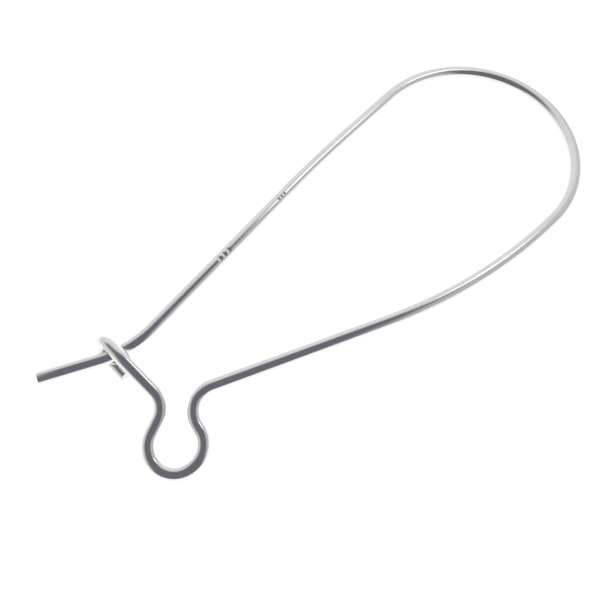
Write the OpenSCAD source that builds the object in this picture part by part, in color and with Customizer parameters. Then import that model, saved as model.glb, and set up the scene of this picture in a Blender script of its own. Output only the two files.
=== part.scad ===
// Kidney ear wire, lying as it would on a table with its hook closed.
// One round wire runs from the cut end of the post, along the back leg, round the arch, down the front leg,
// round the bead loop and along the arm to the hook, which turns round the post and ends in a short tail.
// X runs along the wire from the hook to the arch, Y across it towards the back leg, Z up from the table.
// Lengths are in millimetres and are taken on the centre line of the wire unless they say otherwise.

/* [Wire] */
// Diameter of the round wire
wire_d = 0.8; // [0.6:0.05:1]

/* [Loop] */
// Length from the place where the arm crosses the post to the far side of the arch
loop_len = 33.9; // [28:0.1:42]
// Radius of the arch that goes over the ear
arch_r = 7.2; // [5.5:0.1:8.5]
// How far the middle of the arch lies in front of the crossing
arch_drop = 1.1; // [0:0.1:3]
// How far the back leg bows outwards, before its bend is rounded
back_bow = 0.5; // [0.2:0.1:1.1]
// Radius of the bow in the back leg
back_bow_r = 60; // [20:5:70]
// How far the front leg bows outwards, before its bend is rounded
front_bow = 1.7; // [0.5:0.1:2.2]
// Radius of the bow in the front leg
front_bow_r = 35; // [20:5:40]

/* [Post] */
// Length of the post from its free end to the crossing
post_len = 4.6; // [3.6:0.1:8]
// Slope of the post across the length of the wire, in degrees
post_slant = 18; // [10:0.5:25]
// Distance past the crossing at which the post turns into the back leg
post_turn_at = 0.7; // [0:0.1:1.5]
// Radius of the bend between the post and the back leg
post_turn_r = 6; // [3:0.5:8]

/* [Bead loop] */
// Clear width inside the bead loop
bead_hole = 2.3; // [1.8:0.1:2.8]
// How far the middle of the bead loop lies in front of the crossing
bead_drop = 6.2; // [5.6:0.1:8]
// How far the middle of the bead loop lies to the side of the crossing, away from the arch
bead_aside = 0.05; // [0:0.05:1]
// Direction in which the bead loop opens, in degrees from the length of the wire
bead_tilt = 61; // [55:1:70]
// Distance from the centre line of the bead loop up to the corner of the neck that joins the front leg
front_neck_rise = 1.05; // [0.9:0.05:1.5]
// Distance from the centre line of the bead loop up to the corner of the neck that joins the arm
arm_neck_rise = 0.8; // [0.6:0.05:1.3]
// Distance between the corners of the two necks, across the bead loop
neck_apart = 0.8; // [0.6:0.1:1.4]
// Radius of the neck that joins the bead loop to the front leg
front_neck_r = 1.5; // [1:0.1:2]
// Radius of the neck that joins the bead loop to the arm
arm_neck_r = 1.5; // [0.8:0.1:1.6]
// Height of the front neck's corner above the wire that lies flat on the table
neck_lift = 0.7; // [0:0.1:1]

/* [Hook] */
// Clearance between the post and the hook, above and below the post
hook_play = 0.14; // [0.12:0.02:0.3]
// Clearance between the post and the back of the hook
hook_back_play = 0.1; // [0.08:0.01:0.12]
// How far the tail lies to the side of the arm, towards the free end of the post
hook_lean = 0.55; // [0:0.05:1]
// Length of the tail in front of the crossing
tail_len = 0.95; // [0.6:0.05:2]
// Distance in front of the crossing at which the arm stops rising
arm_level = 0.6; // [0.4:0.1:0.8]
// Radius of the bend where the arm stops rising
arm_level_r = 2; // [1:0.1:2.5]

/* [Hidden] */

// The bow in each leg stands at this share of the leg, counted from its hook end
BACK_BOW_SHARE = 0.7;
FRONT_BOW_SHARE = 0.8;
// Share of a straight leg that a bend at its end may take up
BEND_SHARE = 0.95;
// Sides of the wire's section where it is bent, and facets of the round post
WIRE_SIDES = 16;
POST_FACETS = 48;
// Furthest that a facet along a bend may cut inside the true curve
FACET_GAP = 0.01;
// The bent wire starts inside the post as a tapered root, so that the two join cleanly just before the bend
ROOT_LEN = 0.6;
ROOT_SIZE = 0.75;
POST_SEAM = 0.1;

low = wire_d / 2;
bead_r = (bead_hole + wire_d) / 2;
hook_rise = wire_d + hook_play;
post_height = low + hook_rise;
arm_height = low + 2 * hook_rise;

function unit(v) = v / norm(v);
function polar(r, a) = [r * cos(a), r * sin(a)];
function left_of(v) = [-v.y, v.x];
function flat(p) = [p.x, p.y];
function raise(p, z) = [p.x, p.y, z];
function spin(v, axis, a) = v * cos(a) + cross(axis, v) * sin(a) + axis * (axis * v) * (1 - cos(a));

// Direction from the middle of a circle of radius r to where a line from p, seen from that middle, touches it
function touch_angle(p, r, side) = atan2(p.y, p.x) + side * acos(r / norm(p));

// Turn from direction a to direction b, clockwise from above
function clockwise(a, b) = (a - b) % 360 + ((a - b) % 360 < 0 ? 360 : 0);

// Corner of a leg from p to q that bows to the left by the distance bow
function bow_corner(p, q, share, bow) = p + (q - p) * share + bow * left_of(unit(q - p));

// A bend is a row with these columns: its middle, the direction from there to its start, the direction in
// which the wire sets off, the radius and the angle it turns
MIDDLE = 0;
OUT = 1;
AHEAD = 2;
RADIUS = 3;
TURN = 4;

// Bend that rounds the corner p between straight legs from a and to b; its radius is the one asked for, or
// as much of it as the shorter leg has room for
function corner_bend(a, p, b, asked_r) =
    let (
        before = unit(p - a),
        after = unit(b - p),
        turn = acos(before * after),
        inward = unit(after - before * (before * after)),
        r = min(asked_r, BEND_SHARE * min(norm(p - a), norm(b - p)) / tan(turn / 2))
    )
    [p - before * r * tan(turn / 2) + inward * r, -inward, before, r, turn];

// Bend that goes clockwise round a loop, between straight legs from p and to q in the plane of the loop
function loop_bend(middle, x_way, y_way, p, q, r) =
    let (start = touch_angle(p, r, -1))
    [
        middle,
        x_way * cos(start) + y_way * sin(start),
        x_way * sin(start) - y_way * cos(start),
        r,
        clockwise(start, touch_angle(q, r, 1))
    ];

// Place and direction of the wire after the angle a of a bend
function bend_spot(bend, a) = bend[MIDDLE] + bend[RADIUS] * (bend[OUT] * cos(a) + bend[AHEAD] * sin(a));
function bend_way(bend, a) = bend[AHEAD] * cos(a) - bend[OUT] * sin(a);
function bend_start(bend) = bend_spot(bend, 0);
function bend_end(bend) = bend_spot(bend, bend[TURN]);

// Post: level, and sloping across the length of the wire down to the back leg
post_way = polar(1, -post_slant);
post_end = raise(-post_len * post_way, post_height);
post_turn = raise(post_turn_at * post_way, post_height);

// Bead loop: it lies in a plane that rises from the table, where the loop touches it, to the two necks
bead_rise = asin(neck_lift / (2 * bead_r + front_neck_rise));
bead_up = raise(polar(cos(bead_rise), bead_tilt), sin(bead_rise));
bead_side = raise(polar(1, bead_tilt - 90), 0);
bead_middle = [-bead_aside, -bead_drop, low + bead_r * sin(bead_rise)];
front_neck_at = [neck_apart / 2, bead_r + front_neck_rise];
arm_neck_at = [-neck_apart / 2, bead_r + arm_neck_rise];
bead_loop = loop_bend(bead_middle, bead_side, bead_up, front_neck_at, arm_neck_at, bead_r);
function on_bead(p) = bead_middle + p.x * bead_side + p.y * bead_up;
front_neck = on_bead(front_neck_at);
arm_neck = on_bead(arm_neck_at);

// Arch: flat on the table, with a bow in each of the two legs that run into it
arch_middle = [loop_len - arch_r, -arch_drop];
function arch_touch(p, side) =
    arch_middle + polar(arch_r, touch_angle(flat(p) - arch_middle, arch_r, side));
back_bow_at = bow_corner(flat(post_turn), arch_touch(post_turn, -1), BACK_BOW_SHARE, back_bow);
front_bow_at = bow_corner(flat(front_neck), arch_touch(front_neck, 1), FRONT_BOW_SHARE, -front_bow);
back_bow_spot = raise(back_bow_at, low);
front_bow_spot = raise(front_bow_at, low);
arch = loop_bend(
    raise(arch_middle, low), [1, 0, 0], [0, 1, 0],
    back_bow_at - arch_middle, front_bow_at - arch_middle, arch_r
);

// Hook: the arm crosses over the post at the middle of the plan, turns down behind it and comes back under it
arm_way = -unit(flat(arm_neck));
lean_way = left_of(arm_way);
hook_drop = raise(hook_lean * lean_way, -2 * hook_rise);
function hook_turn(start) =
    [
        raise(start * arm_way, arm_height) + hook_drop / 2,
        -unit(hook_drop),
        raise(arm_way, 0),
        norm(hook_drop) / 2,
        180
    ];

// Least distance from the crossing to the start of the hook's turn at which the turn, at its angle a, stays
// clear of the bend between the post and the back leg
post_bend = corner_bend(post_end, post_turn, back_bow_spot, post_turn_r);
back_gap = wire_d + hook_back_play;
function clear_start(a) =
    let (
        spot = bend_spot(hook_turn(0), a) - post_bend[MIDDLE],
        height = hook_rise * cos(a),
        limit = post_bend[RADIUS] - sqrt(max(0, back_gap * back_gap - height * height)),
        along = flat(spot) * arm_way
    )
    -along - sqrt(along * along - flat(spot) * flat(spot) + limit * limit);
beside_post = acos(min(1, back_gap / hook_rise));
hook_start = max([for (a = [beside_post : 2 : 180 - beside_post]) clear_start(a)]);
arm_level_spot = raise(-arm_level * arm_way, arm_height);
tail_end = raise(hook_lean * lean_way - tail_len * arm_way, low);

// The bends in their order along the wire, from the post to the hook
bends = [
    post_bend,
    corner_bend(post_turn, back_bow_spot, bend_start(arch), back_bow_r),
    arch,
    corner_bend(bend_end(arch), front_bow_spot, front_neck, front_bow_r),
    corner_bend(front_bow_spot, front_neck, bend_start(bead_loop), front_neck_r),
    bead_loop,
    corner_bend(bend_end(bead_loop), arm_neck, arm_level_spot, arm_neck_r),
    corner_bend(arm_neck, arm_level_spot, bend_start(hook_turn(hook_start)), arm_level_r),
    hook_turn(hook_start)
];
last_bend = bends[len(bends) - 1];

function bend_axis(bend) = cross(bend[OUT], bend[AHEAD]);
function bend_steps(bend) = ceil(bend[TURN] / (2 * acos(1 - FACET_GAP / bend[RADIUS])));

// Direction across the wire that is carried along it without a twist, where bend i starts
function side_before(i) =
    i == 0 ? [0, 0, 1] : spin(side_before(i - 1), bend_axis(bends[i - 1]), bends[i - 1][TURN]);

// The sections of the bent wire are rows with these columns: place, direction along the wire, direction
// across it, and size as a share of the wire's
SPOT = 0;
WAY = 1;
SIDE = 2;
SIZE = 3;
root = [bend_start(bends[0]) - ROOT_LEN * bends[0][AHEAD], bends[0][AHEAD], side_before(0), ROOT_SIZE];
tail = [tail_end, bend_way(last_bend, 180), side_before(len(bends)), 1];
bent_sections = [
    for (i = [0 : len(bends) - 1])
        let (bend = bends[i], steps = bend_steps(bend), side = side_before(i))
            for (k = [0 : steps])
                let (a = bend[TURN] * k / steps)
                    [bend_spot(bend, a), bend_way(bend, a), spin(side, bend_axis(bend), a), 1]
];
sections = concat([root], bent_sections, [tail]);

function section_point(s, a) = s[SPOT] + low * s[SIZE] * (s[SIDE] * cos(a) + cross(s[WAY], s[SIDE]) * sin(a));

// Middle of the plan's outline, which is put over the origin
outline = concat([[post_end, bends[0][AHEAD]]], bent_sections, [tail]);
function half_width(s, axis) = low * sqrt(max(0, 1 - s[WAY][axis] * s[WAY][axis]));
function low_side(axis) = min([for (s = outline) s[SPOT][axis] - half_width(s, axis)]);
function high_side(axis) = max([for (s = outline) s[SPOT][axis] + half_width(s, axis)]);
plan_middle = [low_side(0) + high_side(0), low_side(1) + high_side(1)] / 2;

// The post, as a true round pin up to its seam with the bent wire
module post() {
    translate(post_end)
        rotate([0, 90, -post_slant])
            cylinder(h = norm(bend_start(bends[0]) - post_end) - POST_SEAM, d = wire_d, $fn = POST_FACETS);
}

// The bent wire, from its root in the post to the cut end of the tail
module bent_wire() {
    sides = [0 : WIRE_SIDES - 1];
    corners = [for (s = sections, j = sides) section_point(s, 360 * j / WIRE_SIDES)];
    walls = [
        for (k = [0 : len(sections) - 2], j = sides)
            let (here = k * WIRE_SIDES, next = here + WIRE_SIDES, j2 = (j + 1) % WIRE_SIDES)
                [here + j, next + j, next + j2, here + j2]
    ];
    root_face = [for (j = sides) j];
    tail_face = [for (j = sides) len(corners) - 1 - j];
    polyhedron(points = corners, faces = concat([root_face], walls, [tail_face]));
}

module ear_wire() {
    color("silver")
        translate(-raise(plan_middle, 0)) {
            post();
            bent_wire();
        }
}

ear_wire();
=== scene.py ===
"""A kidney ear wire in polished silver, lying on a pale table with its hook closed over its post.

The wire is modelled as it is bent: a round section at the post's cut end is drawn along each straight stretch
and spun round each bend, down to the cut end of the tail.
"""

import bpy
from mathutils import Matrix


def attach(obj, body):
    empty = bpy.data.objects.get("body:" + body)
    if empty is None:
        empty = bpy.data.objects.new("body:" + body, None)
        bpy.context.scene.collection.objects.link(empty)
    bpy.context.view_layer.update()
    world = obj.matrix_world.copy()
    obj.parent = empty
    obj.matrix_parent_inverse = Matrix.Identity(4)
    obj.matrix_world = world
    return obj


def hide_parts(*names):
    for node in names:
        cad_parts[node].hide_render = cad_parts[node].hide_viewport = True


bl_info = {
    "name": "Kidney ear wire",
    "version": (1, 0, 0),
    "blender": (4, 5, 0),
    "location": "3D View > Sidebar > Ear wire",
    "description": "A kidney ear wire bent from one round silver wire, with its studio table",
    "category": "Add Mesh",
}

import math
from collections import namedtuple

import bmesh
import bpy
from bpy.props import FloatProperty, FloatVectorProperty, IntProperty, PointerProperty
from mathutils import Matrix, Vector

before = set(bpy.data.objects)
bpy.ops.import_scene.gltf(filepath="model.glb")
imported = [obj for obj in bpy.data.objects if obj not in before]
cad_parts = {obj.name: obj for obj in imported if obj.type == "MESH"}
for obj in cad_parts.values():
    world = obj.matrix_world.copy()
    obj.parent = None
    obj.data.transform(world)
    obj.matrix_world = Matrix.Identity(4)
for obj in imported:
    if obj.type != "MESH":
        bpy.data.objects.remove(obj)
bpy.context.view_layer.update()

MM = 0.001
UP = Vector((0, 0, 1))

# The bow in each leg stands at this share of the leg, counted from its hook end
BACK_BOW_SHARE = 0.7
FRONT_BOW_SHARE = 0.8
# Share of a straight leg that a bend at its end may take up
BEND_SHARE = 0.95
# Furthest that a facet along a bend may cut inside the true curve
FACET_GAP = 0.001 * MM
# Steps in which the hook's clearance to the post is tried round its bend
HOOK_STEP = math.radians(2)
# How closely a stretch's end has to meet its place on the drawing
PLACE_SLACK = 0.002 * MM
# Share of the wire's radius by which a place may lie past the end of its stretch, and outside the wire
END_SLACK = 0.02
SKIN_SLACK = 0.05
# Facets that meet at less than this angle are shaded as one surface
SMOOTH_ANGLE = math.radians(40)

# Rows of round punch marks in the back leg, on the side that faces the viewer: distance along the wire from
# the post's end to the first mark, number of marks, and their pitch, width and depth
PunchRow = namedtuple("PunchRow", "begin count pitch width depth")
PUNCH_ROWS = (
    PunchRow(12.9 * MM, 3, 0.40 * MM, 0.30 * MM, 0.035 * MM),
    PunchRow(18.65 * MM, 3, 0.28 * MM, 0.20 * MM, 0.045 * MM),
)
# How far the marks are turned from the top of the wire, and the steps in which the wire is drawn round them,
# from this share of a mark's width before the first one to as much after the last one
PUNCH_TURN = math.radians(24)
PUNCH_STEP = 0.02 * MM
PUNCH_MARGIN = 0.6

# Fineness of the silver's patterns, in waves per metre: twice across the wire, then along it
FINE_LINES = (26000, 26000, 260)
COARSE_LINES = (7000, 7000, 90)
RUBS = (3000, 3000, 9000)
SHEAR_LINES = (9000, 60000, 0)
CLOUDS = 420.0
# Levels of their noise between which the clouds and the rubs come up
CLOUD_LEVELS = (0.48, 0.75)
RUB_LEVELS = (0.6, 0.72)
# What each trait of the surface adds where it is strongest: a share of the tarnish, roughness (for the lines
# a share of the wear), and height in line depths. The relief is the share of all heights that shows.
Trait = namedtuple("Trait", "tarnish rough height")
FINE_LINE = Trait(0, 0.25, 0.5)
COARSE_LINE = Trait(0, 0.6, 0.8)
RUB = Trait(0, 0.08, -0.5)
PUNCH_MARK = Trait(0.9, 0.15, 0)
CUT_END = Trait(0.35, 0.22, 5.0)
RELIEF = 0.6
# Where a mark's tarnish fades, from its middle, as shares of its width, and where the cut end's finish starts
# to fade, as a share of the rounded rim
MARK_FADE = (0.3, 0.55)
CUT_FADE = 0.2

# Fineness of the table's grain, its darkest shade, and how much of that shade shows
TABLE_GRAIN = 900.0
GRAIN_SHADE = 0.97
GRAIN_SHARE = 0.2

# Place that the camera looks at, its picture's width and its lens in mm, and the studio round it
CAMERA_TARGET = Vector((-4.1745, -1.897, 0.4)) * MM
PICTURE_WIDTH = 36
LENS = 33.94
TABLE_SIZE = 1.2
LAMP_SIZE = 0.15
LAMP_HEIGHT = 0.2
# How far the tent's cloth may reach below the table's top
TENT_FOOT = 0.01 * MM

# Where the tent's parts fade into each other, from and to. All are parts of a direction of length 1: x to the
# right in the picture, y away from the viewer, z up.
FAR_CLOTH_Y = (0.45, 0.9)
WARM_CLOTH_WAY = (-0.85, -0.5)
WARM_CLOTH_FADE = (0.7, 0.95)
SIDE_CLOTH_X = (0.45, 0.75)
FAR_SIDE_Y = (-0.1, 0.5)
OPENING_LEFT_X = (-0.93, -0.68)
OPENING_RIGHT_X = (0.54, 0.76)
OPENING_TOP_Y = (0.2, 0.52)
OPENING_FOOT_Z = (0.0, 0.3)
# Slants of the opening's left edge, by y, and of its top edge, by x
LEFT_SLANT = 0.15
TOP_SLANT = 0.18
# The lamp's spot, a bright patch painted into the tent's glow that the silver shows as its highlight: its
# direction, and where it fades as a cosine from that direction
PAINTED_SPOT_WAY = (0.545, 0.353, 0.76)
PAINTED_SPOT_FADE = (0.98, 0.992)


# Sizes and finishes that a user would change

def length(name, description, default, low, high):
    return FloatProperty(name=name, description=description, default=default * MM, min=low * MM,
                         max=high * MM, subtype="DISTANCE", unit="LENGTH", precision=5)


def angle(name, description, default, low, high):
    return FloatProperty(name=name, description=description, default=math.radians(default),
                         min=math.radians(low), max=math.radians(high), subtype="ANGLE", unit="ROTATION")


def share(name, description, default):
    return FloatProperty(name=name, description=description, default=default, min=0, max=1, subtype="FACTOR")


def light(name, description, default):
    return FloatProperty(name=name, description=description, default=default, min=0, max=10)


def colour(name, description, default):
    return FloatVectorProperty(name=name, description=description, default=default, min=0, max=1, size=3,
                               subtype="COLOR")


class WireSizes(bpy.types.PropertyGroup):
    wire_d: length("Wire", "Diameter of the round wire", 0.8, 0.6, 1)
    loop_len: length("Loop length", "From the crossing of arm and post to the arch's far side", 33.9, 28, 42)
    arch_r: length("Arch radius", "Radius of the arch that goes over the ear", 7.2, 5.5, 8.5)
    arch_drop: length("Arch drop", "How far the arch's middle lies in front of the crossing", 1.1, 0, 3)
    back_bow: length("Back bow", "How far the back leg bows out, before rounding", 0.5, 0.2, 1.1)
    back_bow_r: length("Back bow radius", "Radius of the bow in the back leg", 60, 20, 70)
    front_bow: length("Front bow", "How far the front leg bows out, before rounding", 1.7, 0.5, 2.2)
    front_bow_r: length("Front bow radius", "Radius of the bow in the front leg", 35, 20, 40)
    post_len: length("Post length", "From the post's free end to the crossing", 4.6, 3.6, 8)
    post_slant: angle("Post slant", "Slope of the post across the length of the wire", 18, 10, 25)
    post_turn_at: length("Post turn at", "Distance past the crossing at which the post turns", 0.7, 0, 1.5)
    post_turn_r: length("Post turn radius", "Radius of the bend between the post and the back leg", 6, 3, 8)
    bead_hole: length("Bead hole", "Clear width inside the bead loop", 2.3, 1.8, 2.8)
    bead_drop: length("Bead drop", "From the crossing forward to the bead loop's middle", 6.2, 5.6, 8)
    bead_aside: length("Bead aside", "From the crossing sideways to the bead loop's middle", 0.05, 0, 1)
    bead_tilt: angle("Bead tilt", "Way that the bead loop opens, from the length of the wire", 61, 55, 70)
    front_neck_rise: length("Front neck rise", "From the bead loop up to the front neck's corner",
                            1.05, 0.9, 1.5)
    arm_neck_rise: length("Arm neck rise", "From the bead loop up to the arm neck's corner", 0.8, 0.6, 1.3)
    neck_apart: length("Necks apart", "Distance between the corners of the two necks", 0.8, 0.6, 1.4)
    front_neck_r: length("Front neck radius", "Radius of the neck that joins the front leg", 1.5, 1, 2)
    arm_neck_r: length("Arm neck radius", "Radius of the neck that joins the arm", 1.5, 0.8, 1.6)
    neck_lift: length("Neck lift", "Height of the front neck above the wire that lies flat", 0.7, 0, 1)
    hook_play: length("Hook play", "Clearance from the post to the hook above and below it", 0.14, 0.12, 0.3)
    hook_back_play: length("Hook back play", "Clearance from the post to the hook's back", 0.1, 0.08, 0.12)
    hook_lean: length("Hook lean", "How far the tail lies to the side of the arm", 0.55, 0, 1)
    tail_len: length("Tail length", "Length of the tail in front of the crossing", 0.95, 0.6, 2)
    arm_level: length("Arm level", "From the crossing forward to where the arm stops rising", 0.6, 0.4, 0.8)
    arm_level_r: length("Arm level radius", "Radius of the bend where the arm stops rising", 2, 1, 2.5)
    edge_round: length("Cut edge", "Rounding of the rim at each cut end", 0.035, 0.01, 0.1)
    sides: IntProperty(name="Sides", description="Sides of the wire's section", default=64, min=16, max=96)


class SilverLook(bpy.types.PropertyGroup):
    silver: colour("Silver", "Colour of the clean metal", (0.86, 0.855, 0.85))
    tarnish: colour("Tarnish", "Colour of the faint tarnish", (0.76, 0.72, 0.67))
    tarnish_share: share("Tarnish share", "How much of the tarnish shows where it is strongest", 0.35)
    polish: share("Polish", "Roughness of the polished wire", 0.11)
    wear: share("Wear", "Roughness that the drawing lines and handling add", 0.16)
    line_depth: length("Line depth", "Depth of the fine lines that the drawing die leaves", 0.0006, 0, 0.01)


class StudioLook(bpy.types.PropertyGroup):
    table: colour("Table", "Colour of the pale table", (0.9, 0.9, 0.9))
    table_glow: light("Table glow", "Light that shines up through the table", 0.8)
    room_light: light("Room light", "Strength of the soft light all round", 0.3)
    lamp_power: FloatProperty(name="Lamp", description="Power of the soft lamp overhead", default=0.05, min=0,
                              max=10, unit="POWER", precision=3)
    cloth: colour("Tent cloth", "Brightness and colour of the tent's cloth", (0.73, 0.735, 0.755))
    far_cloth: colour("Far cloth", "Brightness and colour of the cloth across the table", (0.81, 0.81, 0.815))
    warm_cloth: colour("Warm cloth", "Brightness and colour of the cloth low on the left", (0.74, 0.7, 0.65))
    opening: colour("Opening", "Brightness and colour of the opening in the tent", (0.155, 0.15, 0.18))
    side_cloth: colour("Shaded side", "Brightness and colour of the cloth on the right", (0.53, 0.515, 0.52))
    far_side: colour("Far side", "Brightness and colour of the cloth far on the right", (0.62, 0.625, 0.64))
    low_cloth: colour("Low cloth", "Brightness and colour of the cloth under the opening", (0.22, 0.22, 0.25))
    # The lamp's spot is painted into the tent's glow; no lamp stands behind the cloth there
    painted_lamp_spot: light("Lamp spot", "Brightness of the lamp that shows through the cloth", 1.6)
    tent_r: length("Tent radius", "Radius of the tent", 50, 45, 200)
    camera_height: angle("Camera height", "Angle of the camera above the table", 68, 5, 90)
    camera_turn: angle("Camera turn", "Angle from the wire's width to the camera's side", 36, -180, 180)
    camera_distance: length("Camera distance", "Distance from the camera to its target", 35.08, 20, 200)


# The wire's route: straight stretches and bends, from the post's free end to the tail

Bend = namedtuple("Bend", "middle out ahead radius turn")


def bend_spot(bend, a):
    return bend.middle + bend.radius * (bend.out * math.cos(a) + bend.ahead * math.sin(a))


def bend_way(bend, a):
    return bend.ahead * math.cos(a) - bend.out * math.sin(a)


def bend_axis(bend):
    return bend.out.cross(bend.ahead)


def bend_start(bend):
    return bend_spot(bend, 0)


def bend_end(bend):
    return bend_spot(bend, bend.turn)


def polar(r, a):
    return Vector((r * math.cos(a), r * math.sin(a), 0))


def left_of(v):
    return Vector((-v.y, v.x, 0))


def flat(p):
    return Vector((p.x, p.y, 0))


def at_height(p, z):
    return Vector((p.x, p.y, z))


def touch_angle(x, y, r, side):
    """Direction from a circle's middle to where a line from (x, y), seen from that middle, touches it."""
    return math.atan2(y, x) + side * math.acos(r / math.hypot(x, y))


def corner_bend(a, p, b, asked_r):
    """The bend that rounds the corner p between straight legs from a and to b."""
    before, after = (p - a).normalized(), (b - p).normalized()
    turn = math.acos(before.dot(after))
    inward = (after - before * before.dot(after)).normalized()
    r = min(asked_r, BEND_SHARE * min((p - a).length, (b - p).length) / math.tan(turn / 2))
    return Bend(p - before * r * math.tan(turn / 2) + inward * r, -inward, before, r, turn)


def loop_bend(middle, x_way, y_way, p, q, r):
    """The bend clockwise round a loop, between straight legs from p and to q in the loop's plane."""
    start = touch_angle(*p, r, -1)
    turn = (start - touch_angle(*q, r, 1)) % math.tau
    return Bend(middle, x_way * math.cos(start) + y_way * math.sin(start),
                x_way * math.sin(start) - y_way * math.cos(start), r, turn)


def wire_route(s):
    """The post's free end, the bends in their order, and the tail's end, before the plan is centred."""
    low = s.wire_d / 2
    hook_rise = s.wire_d + s.hook_play
    post_height, arm_height = low + hook_rise, low + 2 * hook_rise

    # Post
    post_way = polar(1, -s.post_slant)
    post_end = at_height(-s.post_len * post_way, post_height)
    post_turn = at_height(s.post_turn_at * post_way, post_height)

    # Bead loop, in a plane that rises from the table to the two necks
    bead_r = (s.bead_hole + s.wire_d) / 2
    bead_rise = math.asin(s.neck_lift / (2 * bead_r + s.front_neck_rise))
    bead_up = at_height(polar(math.cos(bead_rise), s.bead_tilt), math.sin(bead_rise))
    bead_side = polar(1, s.bead_tilt - math.pi / 2)
    bead_middle = Vector((-s.bead_aside, -s.bead_drop, low + bead_r * math.sin(bead_rise)))
    front_neck_at = (s.neck_apart / 2, bead_r + s.front_neck_rise)
    arm_neck_at = (-s.neck_apart / 2, bead_r + s.arm_neck_rise)
    bead_loop = loop_bend(bead_middle, bead_side, bead_up, front_neck_at, arm_neck_at, bead_r)
    front_neck, arm_neck = (bead_middle + x * bead_side + y * bead_up
                            for x, y in (front_neck_at, arm_neck_at))

    # Arch, flat on the table, with a bow in each of the two legs that run into it
    arch_middle = Vector((s.loop_len - s.arch_r, -s.arch_drop, 0))

    def bow(leg_end, side, bow_share, bow_out):
        p = flat(leg_end)
        seen = p - arch_middle
        q = arch_middle + polar(s.arch_r, touch_angle(seen.x, seen.y, s.arch_r, side))
        return p + (q - p) * bow_share + bow_out * left_of((q - p).normalized())

    back_bow = at_height(bow(post_turn, -1, BACK_BOW_SHARE, s.back_bow), low)
    front_bow = at_height(bow(front_neck, 1, FRONT_BOW_SHARE, -s.front_bow), low)
    arch = loop_bend(at_height(arch_middle, low), Vector((1, 0, 0)), Vector((0, 1, 0)),
                     (back_bow - arch_middle)[:2], (front_bow - arch_middle)[:2], s.arch_r)

    # Hook: the arm crosses over the post, turns down behind it and comes back under it
    arm_way = -flat(arm_neck).normalized()
    lean_way = left_of(arm_way)
    hook_drop = at_height(s.hook_lean * lean_way, -2 * hook_rise)
    post_bend = corner_bend(post_end, post_turn, back_bow, s.post_turn_r)
    back_gap = s.wire_d + s.hook_back_play

    def hook_turn(start):
        return Bend(at_height(start * arm_way, arm_height) + hook_drop / 2, -hook_drop.normalized(), arm_way,
                    hook_drop.length / 2, math.pi)

    def clear_start(a):
        spot = bend_spot(hook_turn(0), a) - post_bend.middle
        height = hook_rise * math.cos(a)
        limit = post_bend.radius - math.sqrt(max(0, back_gap ** 2 - height ** 2))
        along = flat(spot).dot(arm_way)
        return -along - math.sqrt(along ** 2 - flat(spot).length_squared + limit ** 2)

    beside_post = math.acos(min(1, back_gap / hook_rise))
    tries = int((math.pi - 2 * beside_post) / HOOK_STEP) + 1
    hook_start = max(clear_start(beside_post + HOOK_STEP * k) for k in range(tries))
    hook = hook_turn(hook_start)
    arm_level = at_height(-s.arm_level * arm_way, arm_height)
    tail_end = at_height(s.hook_lean * lean_way - s.tail_len * arm_way, low)

    bends = [
        post_bend,
        corner_bend(post_turn, back_bow, bend_start(arch), s.back_bow_r),
        arch,
        corner_bend(bend_end(arch), front_bow, front_neck, s.front_bow_r),
        corner_bend(front_bow, front_neck, bend_start(bead_loop), s.front_neck_r),
        bead_loop,
        corner_bend(bend_end(bead_loop), arm_neck, arm_level, s.arm_neck_r),
        corner_bend(arm_neck, arm_level, bend_start(hook), s.arm_level_r),
        hook,
    ]
    return post_end, bends, tail_end


def bend_steps(bend):
    return math.ceil(bend.turn / (2 * math.acos(1 - FACET_GAP / bend.radius)))


def plan_middle(post_end, bends, tail_end, low):
    """Middle of the plan's outline, from the sections along the route."""
    spots = [(post_end, bends[0].ahead), (tail_end, bend_way(bends[-1], bends[-1].turn))]
    for b in bends:
        n = bend_steps(b)
        spots += [(bend_spot(b, b.turn * k / n), bend_way(b, b.turn * k / n)) for k in range(n + 1)]
    middle = []
    for axis in (0, 1):
        half = [low * math.sqrt(max(0, 1 - way[axis] ** 2)) for _, way in spots]
        lows = [spot[axis] - h for (spot, _), h in zip(spots, half)]
        highs = [spot[axis] + h for (spot, _), h in zip(spots, half)]
        middle.append((min(lows) + max(highs)) / 2)
    return Vector((*middle, 0))


def centred_route(s):
    post_end, bends, tail_end = wire_route(s)
    shift = plan_middle(post_end, bends, tail_end, s.wire_d / 2)
    return post_end - shift, [b._replace(middle=b.middle - shift) for b in bends], tail_end - shift


# Modelling helpers

def start_object():
    """Nothing is selected, so that the next primitive stands alone."""
    if bpy.context.object and bpy.context.object.mode != "OBJECT":
        bpy.ops.object.mode_set(mode="OBJECT")
    bpy.ops.object.select_all(action="DESELECT")


def apply_place(obj):
    bpy.ops.object.select_all(action="DESELECT")
    obj.select_set(True)
    bpy.context.view_layer.objects.active = obj
    bpy.ops.object.transform_apply(location=True, rotation=True, scale=True)


def chosen_middle(obj):
    """Middle of the selected vertices, in edit mode."""
    places = [v.co for v in bmesh.from_edit_mesh(obj.data).verts if v.select]
    return sum(places, Vector()) / len(places)


def choose(obj, kind, test):
    """Selects the vertices, edges or faces that pass the test, and nothing else."""
    bpy.ops.mesh.select_all(action="DESELECT")
    bpy.ops.mesh.select_mode(type={"verts": "VERT", "edges": "EDGE", "faces": "FACE"}[kind])
    mesh = bmesh.from_edit_mesh(obj.data)
    found = 0
    for part in getattr(mesh, kind):
        if test(part):
            part.select_set(True)
            found += 1
    bmesh.update_edit_mesh(obj.data)
    return found


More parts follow.
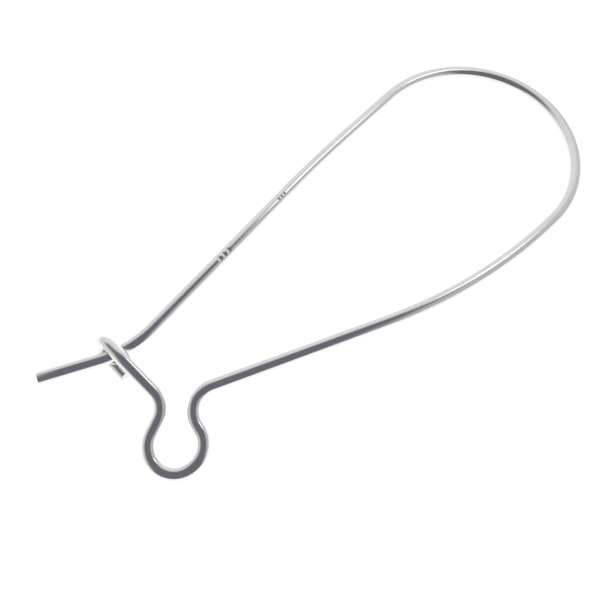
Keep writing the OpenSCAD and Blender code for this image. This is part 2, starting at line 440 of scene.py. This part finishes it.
class Stretch:
    """A straight or a bend of the route: where it starts along the wire, and how it maps a place to the
    straight wire that it was bent from."""

    def __init__(self, begin, side, start=None, end=None, bend=None):
        self.begin, self.side, self.bend = begin, side, bend
        if bend:
            self.length = bend.radius * bend.turn
            self.axis = bend_axis(bend)
        else:
            self.start, self.way = start, (end - start).normalized()
            self.length = (end - start).length

    def unbent(self, place, reach):
        """(across, across, along) on the straight wire, or None if the place isn't on this stretch."""
        if self.bend:
            b = self.bend
            d = place - b.middle
            slack = reach / b.radius * END_SLACK
            a = (math.atan2(d.dot(b.ahead), d.dot(b.out)) + slack) % math.tau - slack
            if not -slack <= a <= b.turn + slack:
                return None
            offset = place - bend_spot(b, a)
            side = Matrix.Rotation(a, 3, self.axis) @ self.side
            way, along = bend_way(b, a), b.radius * a
        else:
            d = place - self.start
            along = d.dot(self.way)
            if not -END_SLACK * reach <= along <= self.length + END_SLACK * reach:
                return None
            offset, side, way = d - self.way * along, self.side, self.way
        if offset.length > reach:
            return None
        return Vector((offset.dot(side), offset.dot(way.cross(side)), self.begin + along))


def stretches_of(post_end, bends, tail_end):
    """The stretches in order. The side direction is carried along the wire without a twist."""
    made, here, begin, side = [], post_end, 0.0, UP.copy()
    for b in bends:
        made.append(Stretch(begin, side, start=here, end=bend_start(b)))
        begin += made[-1].length
        made.append(Stretch(begin, side, bend=b))
        begin += made[-1].length
        side = Matrix.Rotation(b.turn, 3, bend_axis(b)) @ side
        here = bend_end(b)
    made.append(Stretch(begin, side, start=here, end=tail_end))
    return made


# Shader maths

class Value:
    """A shader socket that adds a Math node for each operator used on it."""

    def __init__(self, shader, socket):
        self.shader, self.socket = shader, socket

    def _math(self, operation, *values):
        return self.shader.node("ShaderNodeMath", {"operation": operation}, dict(enumerate(values)))

    def __add__(self, other):
        return self._math("ADD", self, other)

    __radd__ = __add__

    def __mul__(self, other):
        return self._math("MULTIPLY", self, other)

    __rmul__ = __mul__

    def __sub__(self, other):
        return self._math("SUBTRACT", self, other)

    def __rsub__(self, other):
        return self._math("SUBTRACT", other, self)

    def __pow__(self, other):
        return self._math("POWER", self, other)

    def above(self, limit):
        return self._math("GREATER_THAN", self, limit)

    def least(self, other):
        return self._math("MINIMUM", self, other)

    def most(self, other):
        return self._math("MAXIMUM", self, other)


class Shader:
    """The node tree of one material."""

    def __init__(self, name):
        self.material = bpy.data.materials.new(name)
        self.material.use_nodes = True
        self.tree = self.material.node_tree
        self.surface = next(n for n in self.tree.nodes if n.type == "BSDF_PRINCIPLED")

    def put(self, socket, value):
        if isinstance(value, Value):
            self.tree.links.new(value.socket, socket)
        else:
            socket.default_value = value

    def node(self, kind, settings=None, values=None, output=0):
        """A node of a kind, with its settings and the values or links of its inputs; gives one output."""
        made = self.tree.nodes.new(kind)
        for name, setting in (settings or {}).items():
            setattr(made, name, setting)
        for name, value in (values or {}).items():
            self.put(made.inputs[name], value)
        return Value(self, made.outputs[output])

    def mix(self, factor, a, b):
        """Colours a and b mixed by the factor."""
        return self.node("ShaderNodeMix", {"data_type": "RGBA"}, {0: factor, 6: a, 7: b}, output=2)

    def scaled(self, vector, scale):
        return self.node("ShaderNodeVectorMath", {"operation": "MULTIPLY"}, {0: vector, 1: scale})

    def dot(self, a, b):
        return self.node("ShaderNodeVectorMath", {"operation": "DOT_PRODUCT"}, {0: a, 1: b}, output=1)

    def noise(self, vector, scale, detail=3.0, roughness=0.5):
        return self.node("ShaderNodeTexNoise", {"noise_dimensions": "3D"},
                         {"Vector": vector, "Scale": scale, "Detail": detail, "Roughness": roughness})

    def smooth(self, value, low, high):
        """0 below low, 1 above high, and a smooth rise between them."""
        return self.node("ShaderNodeMapRange", {"interpolation_type": "SMOOTHSTEP"},
                         {"Value": value, "From Min": low, "From Max": high})

    def finish(self, **inputs):
        for name, value in inputs.items():
            self.put(self.surface.inputs[name.replace("_", " ")], value)
        return self.material


def rgba(c):
    return (*c, 1.0)


def silver_material(look, sizes, wire_len, marks):
    """Polished silver, with drawing lines along the wire, faint tarnish and sheared cut ends."""
    m = Shader("polished_silver")
    drawn = m.node("ShaderNodeAttribute", {"attribute_name": "drawn_wire"}, output=1)
    along = m.node("ShaderNodeSeparateXYZ", values={0: drawn}, output=2)

    # Lines of the drawing die: fine round the wire, long along it
    fine_lines = m.noise(m.scaled(drawn, FINE_LINES), 1.0, 2.0)
    coarse_lines = m.noise(m.scaled(drawn, COARSE_LINES), 1.0, 3.0)
    # Handling: soft cloudy patches and small rubs
    clouds = m.smooth(m.noise(drawn, CLOUDS, 3.0, 0.55), *CLOUD_LEVELS)
    rubs = m.smooth(m.noise(m.scaled(drawn, RUBS), 1.0, 4.0, 0.6), *RUB_LEVELS)

    # Cut ends: short sheared lines on the faces
    to_end = along.least(wire_len - along)
    at_end = 1 - m.smooth(to_end, CUT_FADE * sizes.edge_round, sizes.edge_round)
    shear = m.noise(m.scaled(drawn, SHEAR_LINES), 1.0, 2.0)

    # Punch marks hold a little tarnish
    facing = m.dot(drawn, (math.cos(PUNCH_TURN), math.sin(PUNCH_TURN), 0))
    aside = m.dot(drawn, (-math.sin(PUNCH_TURN), math.cos(PUNCH_TURN), 0))
    in_mark = 0
    for spot, row in marks:
        away = ((along - spot) ** 2 + aside ** 2) ** 0.5
        near = 1 - m.smooth(away, *(row.width * part for part in MARK_FADE))
        in_mark = near.most(in_mark)
    in_mark = in_mark * facing.above(0)

    tarnish = clouds * look.tarnish_share
    tarnish = tarnish.most(in_mark * PUNCH_MARK.tarnish).most(at_end * CUT_END.tarnish)
    base = m.mix(tarnish, rgba(look.silver), rgba(look.tarnish))
    lines_rough = coarse_lines * COARSE_LINE.rough + fine_lines * FINE_LINE.rough
    rough = (look.polish + look.wear * lines_rough + rubs * RUB.rough + in_mark * PUNCH_MARK.rough
             + at_end * CUT_END.rough)
    height = (fine_lines * FINE_LINE.height + coarse_lines * COARSE_LINE.height + rubs * RUB.height
              + at_end * shear * CUT_END.height)
    bump = m.node("ShaderNodeBump", None,
                  {"Strength": RELIEF, "Distance": look.line_depth, "Height": height})
    return m.finish(Base_Color=base, Metallic=1.0, Roughness=rough, Normal=bump)


# The wire

class EARWIRE_OT_wire(bpy.types.Operator):
    """Bend the ear wire from one round silver wire"""

    bl_idname = "earwire.wire"
    bl_label = "Bend the wire"

    def execute(self, context):
        sizes, look = context.scene.wire_sizes, context.scene.silver_look
        low = sizes.wire_d / 2
        post_end, bends, tail_end = centred_route(sizes)
        route = stretches_of(post_end, bends, tail_end)
        wire_len = route[-1].begin + route[-1].length
        marks = [(row.begin + row.pitch * k, row) for row in PUNCH_ROWS for k in range(row.count)]

        # The round section at the post's free end
        start_object()
        way = bends[0].ahead
        turned = Matrix((UP.cross(way), UP, way)).transposed().to_euler()
        bpy.ops.mesh.primitive_circle_add(vertices=sizes.sides, radius=low, fill_type="NOTHING",
                                          location=post_end, rotation=turned)
        wire = context.object
        wire.name = wire.data.name = "bent_wire"
        apply_place(wire)
        bpy.ops.object.mode_set(mode="EDIT")
        bpy.ops.mesh.select_all(action="SELECT")

        # Along the route
        for stretch in route:
            if stretch.bend:
                b = stretch.bend
                bpy.ops.mesh.spin(steps=bend_steps(b), angle=b.turn, center=b.middle, axis=-bend_axis(b),
                                  use_auto_merge=False)
                target = bend_end(b)
            else:
                self.draw_straight(stretch)
                target = stretch.start + stretch.way * stretch.length
            if (chosen_middle(wire) - target).length > PLACE_SLACK:
                raise RuntimeError("a stretch of the wire doesn't end where its drawing says")

        # Cut ends: a face on each, with its rim rounded
        bpy.ops.mesh.edge_face_add()
        choose(wire, "edges", lambda e: e.is_boundary)
        bpy.ops.mesh.edge_face_add()
        choose(wire, "faces", lambda f: len(f.verts) > 4)
        bpy.ops.mesh.region_to_loop()
        bpy.ops.mesh.bevel(offset=sizes.edge_round, segments=3, profile=0.5, affect="EDGES")
        choose(wire, "faces", lambda f: len(f.verts) > 4)
        bpy.ops.mesh.inset(thickness=0.3 * low, depth=0)
        bpy.ops.mesh.poke()

        self.punch_marks(wire, route, marks, low)

        bpy.ops.mesh.select_all(action="SELECT")
        bpy.ops.mesh.normals_make_consistent(inside=False)
        bpy.ops.object.mode_set(mode="OBJECT")
        bpy.ops.object.shade_smooth_by_angle(angle=SMOOTH_ANGLE)

        # Each place on the straight wire that this one was bent from, for the drawing lines
        drawn = wire.data.attributes.new("drawn_wire", "FLOAT_VECTOR", "POINT")
        for v in wire.data.vertices:
            places = (s.unbent(v.co, low * (1 + SKIN_SLACK)) for s in route)
            drawn.data[v.index].vector = next(p for p in places if p is not None)

        wire.data.materials.append(silver_material(look, sizes, wire_len, marks))
        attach(wire, "root")
        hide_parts("ear_wire")
        return {"FINISHED"}

    def draw_straight(self, stretch):
        """Draws the section along a straight, in fine steps where punch marks will go."""
        cuts = [0.0]
        for row in PUNCH_ROWS:
            first = row.begin - PUNCH_MARGIN * row.width - stretch.begin
            span = row.pitch * (row.count - 1) + 2 * PUNCH_MARGIN * row.width
            if 0 < first < stretch.length - span:
                steps = math.ceil(span / PUNCH_STEP)
                cuts += [first + span * k / steps for k in range(steps + 1)]
        cuts.append(stretch.length)
        for here, after in zip(cuts, cuts[1:]):
            bpy.ops.mesh.extrude_region_move(TRANSFORM_OT_translate={"value": stretch.way * (after - here)})

    def punch_marks(self, wire, route, marks, low):
        """Pushes a small round dimple into the back leg at each mark."""
        for spot, row in marks:
            stretch = next(s for s in route if s.begin <= spot <= s.begin + s.length)
            across = stretch.way.cross(stretch.side)
            out = stretch.side * math.cos(PUNCH_TURN) + across * math.sin(PUNCH_TURN)
            top = stretch.start + stretch.way * (spot - stretch.begin) + out * low
            nearest = min(bmesh.from_edit_mesh(wire.data).verts, key=lambda v: (v.co - top).length_squared)
            place = nearest.co.copy()
            choose(wire, "verts", lambda v: v.co == place)
            bpy.ops.transform.translate(
                value=-out * row.depth, use_proportional_edit=True, use_proportional_connected=True,
                proportional_edit_falloff="SPHERE", proportional_size=row.width / 2)


# The table, the light and the camera

class EARWIRE_OT_studio(bpy.types.Operator):
    """Set the pale table, the soft light and the camera"""

    bl_idname = "earwire.studio"
    bl_label = "Set the studio"

    def execute(self, context):
        look = context.scene.studio_look
        turn = Matrix.Rotation(-look.camera_turn, 3, "Z")
        right, away = turn @ Vector((1, 0, 0)), turn @ Vector((0, 1, 0))

        # The table
        start_object()
        bpy.ops.mesh.primitive_plane_add(size=TABLE_SIZE, location=flat(CAMERA_TARGET))
        table = context.object
        table.name = table.data.name = "table"
        bpy.ops.object.mode_set(mode="EDIT")
        bpy.ops.mesh.subdivide(number_cuts=3)
        bpy.ops.object.mode_set(mode="OBJECT")
        apply_place(table)
        m = Shader("pale_table")
        grain = m.noise(m.node("ShaderNodeTexCoord", output=3), TABLE_GRAIN, 2.0)
        shade = m.mix(grain * GRAIN_SHARE, rgba(look.table), rgba([c * GRAIN_SHADE for c in look.table]))
        table.data.materials.append(m.finish(Base_Color=shade, Roughness=0.8, Specular_IOR_Level=0.2,
                                             Emission_Color=shade, Emission_Strength=look.table_glow))

        # Soft light all round and a soft lamp overhead, which light the table; the silver doesn't see them,
        # and its highlight comes from a spot painted into the tent's cloth
        world = context.scene.world or bpy.data.worlds.new("surround")
        context.scene.world = world
        world.use_nodes = True
        back = world.node_tree.nodes["Background"]
        back.inputs["Color"].default_value = rgba((1, 1, 1))
        back.inputs["Strength"].default_value = look.room_light
        world.cycles_visibility.glossy = False
        lamp = bpy.data.lights.new("lamp_overhead", "AREA")
        lamp.shape, lamp.size, lamp.energy = "SQUARE", LAMP_SIZE, look.lamp_power
        holder = bpy.data.objects.new("lamp_overhead", lamp)
        context.scene.collection.objects.link(holder)
        holder.location = CAMERA_TARGET + LAMP_HEIGHT * UP
        holder.visible_camera = holder.visible_glossy = False

        self.pitch_tent(look, right, away)

        # The camera, at the angle that the wire is seen from
        camera = bpy.data.cameras.new("camera")
        camera.sensor_width = PICTURE_WIDTH
        camera.lens = LENS
        camera.clip_start = 1 * MM
        holder = bpy.data.objects.new("camera", camera)
        context.scene.collection.objects.link(holder)
        rise = look.camera_height
        back_way = UP * math.sin(rise) - away * math.cos(rise)
        holder.location = CAMERA_TARGET + back_way * look.camera_distance
        holder.rotation_euler = back_way.to_track_quat("Z", "Y").to_euler()
        context.scene.camera = holder
        context.scene.view_settings.view_transform = "Standard"
        return {"FINISHED"}

    def pitch_tent(self, look, right, away):
        """A small light tent of cloth that the silver mirrors, with its opening towards the viewer."""
        start_object()
        middle = flat(CAMERA_TARGET)
        bpy.ops.mesh.primitive_uv_sphere_add(segments=64, ring_count=32, radius=look.tent_r, location=middle)
        tent = bpy.context.object
        tent.name = tent.data.name = "light_tent"
        apply_place(tent)
        bpy.ops.object.mode_set(mode="EDIT")
        choose(tent, "verts", lambda v: v.co.z < -TENT_FOOT)
        bpy.ops.mesh.delete(type="VERT")
        bpy.ops.object.mode_set(mode="OBJECT")
        bpy.ops.object.shade_smooth()

        m = Shader("tent_cloth")
        place = m.node("ShaderNodeVectorMath", {"operation": "SUBTRACT"},
                       {0: m.node("ShaderNodeTexCoord", output=3), 1: middle})
        way = m.node("ShaderNodeVectorMath", {"operation": "NORMALIZE"}, {0: place})
        x, y, z = m.dot(way, right), m.dot(way, away), m.dot(way, UP)

        # Cloth all round: paler across the table, warm low on the left, shaded on the right
        cloth = m.mix(m.smooth(y, *FAR_CLOTH_Y), rgba(look.cloth), rgba(look.far_cloth))
        warm_x, warm_y = WARM_CLOTH_WAY
        warm = m.smooth(x * warm_x + y * warm_y, *WARM_CLOTH_FADE)
        cloth = m.mix(warm, cloth, rgba(look.warm_cloth))
        side = m.mix(m.smooth(y, *FAR_SIDE_Y), rgba(look.side_cloth), rgba(look.far_side))
        colour = m.mix(m.smooth(x, *SIDE_CLOTH_X), cloth, side)

        # The dark opening, and beside it the lamp's spot, painted into the cloth's glow
        in_opening = (m.smooth(x + y * LEFT_SLANT, *OPENING_LEFT_X) * (1 - m.smooth(x, *OPENING_RIGHT_X))
                      * (1 - m.smooth(y - x * TOP_SLANT, *OPENING_TOP_Y)))
        opening = m.mix(m.smooth(z, *OPENING_FOOT_Z), rgba(look.low_cloth), rgba(look.opening))
        colour = m.mix(in_opening, colour, opening)
        spot_x, spot_y, spot_z = PAINTED_SPOT_WAY
        spot = m.smooth(m.dot(way, spot_x * right + spot_y * away + spot_z * UP), *PAINTED_SPOT_FADE)
        colour = m.mix(spot, colour, rgba([look.painted_lamp_spot] * 3))
        tent.data.materials.append(m.finish(Base_Color=(0, 0, 0, 1), Roughness=1.0, Specular_IOR_Level=0.0,
                                            Emission_Color=colour, Emission_Strength=1.0))
        tent.visible_camera = tent.visible_diffuse = tent.visible_shadow = False


# The sidebar

class EARWIRE_PT_panel(bpy.types.Panel):
    bl_label = "Kidney ear wire"
    bl_idname = "EARWIRE_PT_panel"
    bl_space_type = "VIEW_3D"
    bl_region_type = "UI"
    bl_category = "Ear wire"

    def draw(self, context):
        for group in (context.scene.wire_sizes, context.scene.silver_look, context.scene.studio_look):
            box = self.layout.box()
            for name in group.__annotations__:
                box.prop(group, name)
        for operator in OPERATORS:
            self.layout.operator(operator.bl_idname)


OPERATORS = (EARWIRE_OT_wire, EARWIRE_OT_studio)
GROUPS = {"wire_sizes": WireSizes, "silver_look": SilverLook, "studio_look": StudioLook}
CLASSES = (*GROUPS.values(), *OPERATORS, EARWIRE_PT_panel)


def register():
    for c in CLASSES:
        bpy.utils.register_class(c)
    for name, group in GROUPS.items():
        setattr(bpy.types.Scene, name, PointerProperty(type=group))


def unregister():
    for name in GROUPS:
        delattr(bpy.types.Scene, name)
    for c in reversed(CLASSES):
        bpy.utils.unregister_class(c)


def main():
    register()
    bpy.ops.earwire.wire()
    bpy.ops.earwire.studio()


if __name__ == "__main__":
    main()
